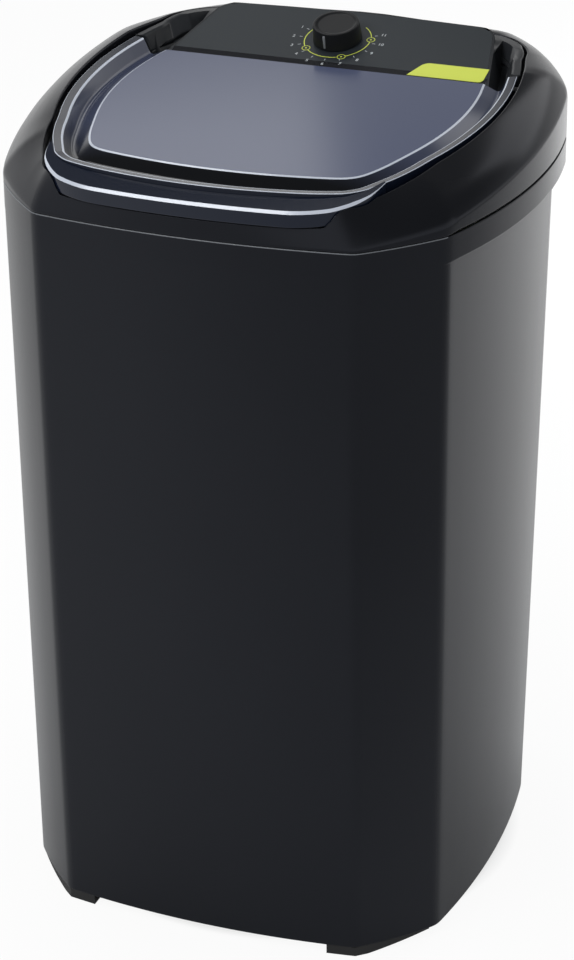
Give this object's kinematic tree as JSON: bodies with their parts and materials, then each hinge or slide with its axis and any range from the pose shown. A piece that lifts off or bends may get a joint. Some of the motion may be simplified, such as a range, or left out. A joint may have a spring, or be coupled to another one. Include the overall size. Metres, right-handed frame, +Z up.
{
  "type": "semi-automatic washing machine",
  "caption": "Compact top-loading semi-automatic washing machine: tall faceted cabinet, hinged lid with a lip handle, sloping rear console with a timer knob, belt-driven impeller in the tub.",
  "frame": {"origin": "on the floor under the middle of the cabinet", "axes": "+X to the machine's right as seen from the front, front towards -Y, +Z up"},
  "size_m": [0.5044, 0.499, 0.8299],
  "materials": {
    "dark_grey_gloss_plastic": "moulded, glossy",
    "fascia_grey_plastic": "satin printed sheet, left bare",
    "badge_yellow_green": "glossy",
    "knob_dark_plastic": "satin",
    "black_plastic": "matte",
    "tub_white_plastic": "smooth",
    "filter_mesh_plastic": "woven net",
    "steel": "zinc plated",
    "painted_steel": "satin black paint",
    "cast_aluminium": "as cast",
    "bronze": "sintered",
    "rubber": "matte",
    "copper_windings": "enamelled wire"
  },
  "bodies": {
    "machine": {"cabinet": "dark_grey_gloss_plastic", "top_cover": "dark_grey_gloss_plastic", "console_housing": "dark_grey_gloss_plastic", "fascia_panel": "fascia_grey_plastic", "fascia_badge": "badge_yellow_green", "foot_front_left": "black_plastic", "foot_front_right": "black_plastic", "foot_rear_left": "black_plastic", "foot_rear_right": "black_plastic", "rear_cover": "black_plastic", "timer_body": "black_plastic", "drain_strainer": "black_plastic", "wash_tub": "tub_white_plastic", "drain_elbow": "tub_white_plastic", "drain_outlet": "tub_white_plastic", "outlet_nut": "tub_white_plastic", "lid_hinge_pins": "steel", "console_screws": "steel", "timer_screws": "steel", "housing_bolts": "steel", "bracket_screws": "steel", "motor_bolts": "steel", "hose_clamps": "steel", "rear_cover_screws": "steel", "cover_screws": "steel", "tub_screws": "steel", "capacitor_clip": "steel", "stator_core": "steel", "motor_bracket": "painted_steel", "motor_can": "painted_steel", "bearing_housing": "cast_aluminium", "motor_upper_shield": "cast_aluminium", "motor_lower_shield": "cast_aluminium", "capacitor": "cast_aluminium", "upper_bush": "bronze", "lower_bush": "bronze", "shaft_seal": "rubber", "motor_mounts": "rubber", "drive_belt": "rubber", "drain_hose": "rubber", "cord_gland": "rubber", "stator_windings": "copper_windings"},
    "lid": {"lid_panel": "dark_grey_gloss_plastic", "lid_handle": "dark_grey_gloss_plastic"},
    "knob": {"timer_knob": "knob_dark_plastic", "timer_shaft": "steel"},
    "impeller_set": {"impeller": "tub_white_plastic", "impeller_screw": "steel", "impeller_cap": "tub_white_plastic", "impeller_shaft": "steel", "driven_pulley": "black_plastic", "pulley_nut": "steel"},
    "motor_rotor": {"motor_shaft": "steel", "rotor_core": "steel", "motor_pulley": "cast_aluminium"},
    "lint_filter": {"lint_filter_frame": "tub_white_plastic", "lint_filter_mesh": "filter_mesh_plastic"}
  },
  "joints": [
    {"name": "lid_hinge", "type": "hinge", "parent": "machine", "child": "lid", "pos_m": [0, 0.0885, 0.79598], "axis": [-1, 0, 0], "range_deg": [0, 95]},
    {"name": "timer_turn", "type": "hinge", "parent": "machine", "child": "knob", "pos_m": [-0.005, 0.1555, 0.80523], "axis": [0, 0.2598, -0.9657], "range_deg": [0, 330]},
    {"name": "impeller_spin", "type": "hinge", "parent": "machine", "child": "impeller_set", "pos_m": [0, 0, 0.2652], "axis": [0, 0, 1], "continuous": true},
    {"name": "motor_spin", "type": "hinge", "parent": "machine", "child": "motor_rotor", "pos_m": [0, 0.165, 0.15], "axis": [0, 0, 1], "continuous": true},
    {"name": "filter_lift", "type": "slide", "parent": "machine", "child": "lint_filter", "axis": [0, 0, 1], "range_m": [0, 0.1]}
  ],
  "couplings": [
    {"joint": "motor_spin", "follows": "impeller_spin", "ratio": 4.1304}
  ]
}
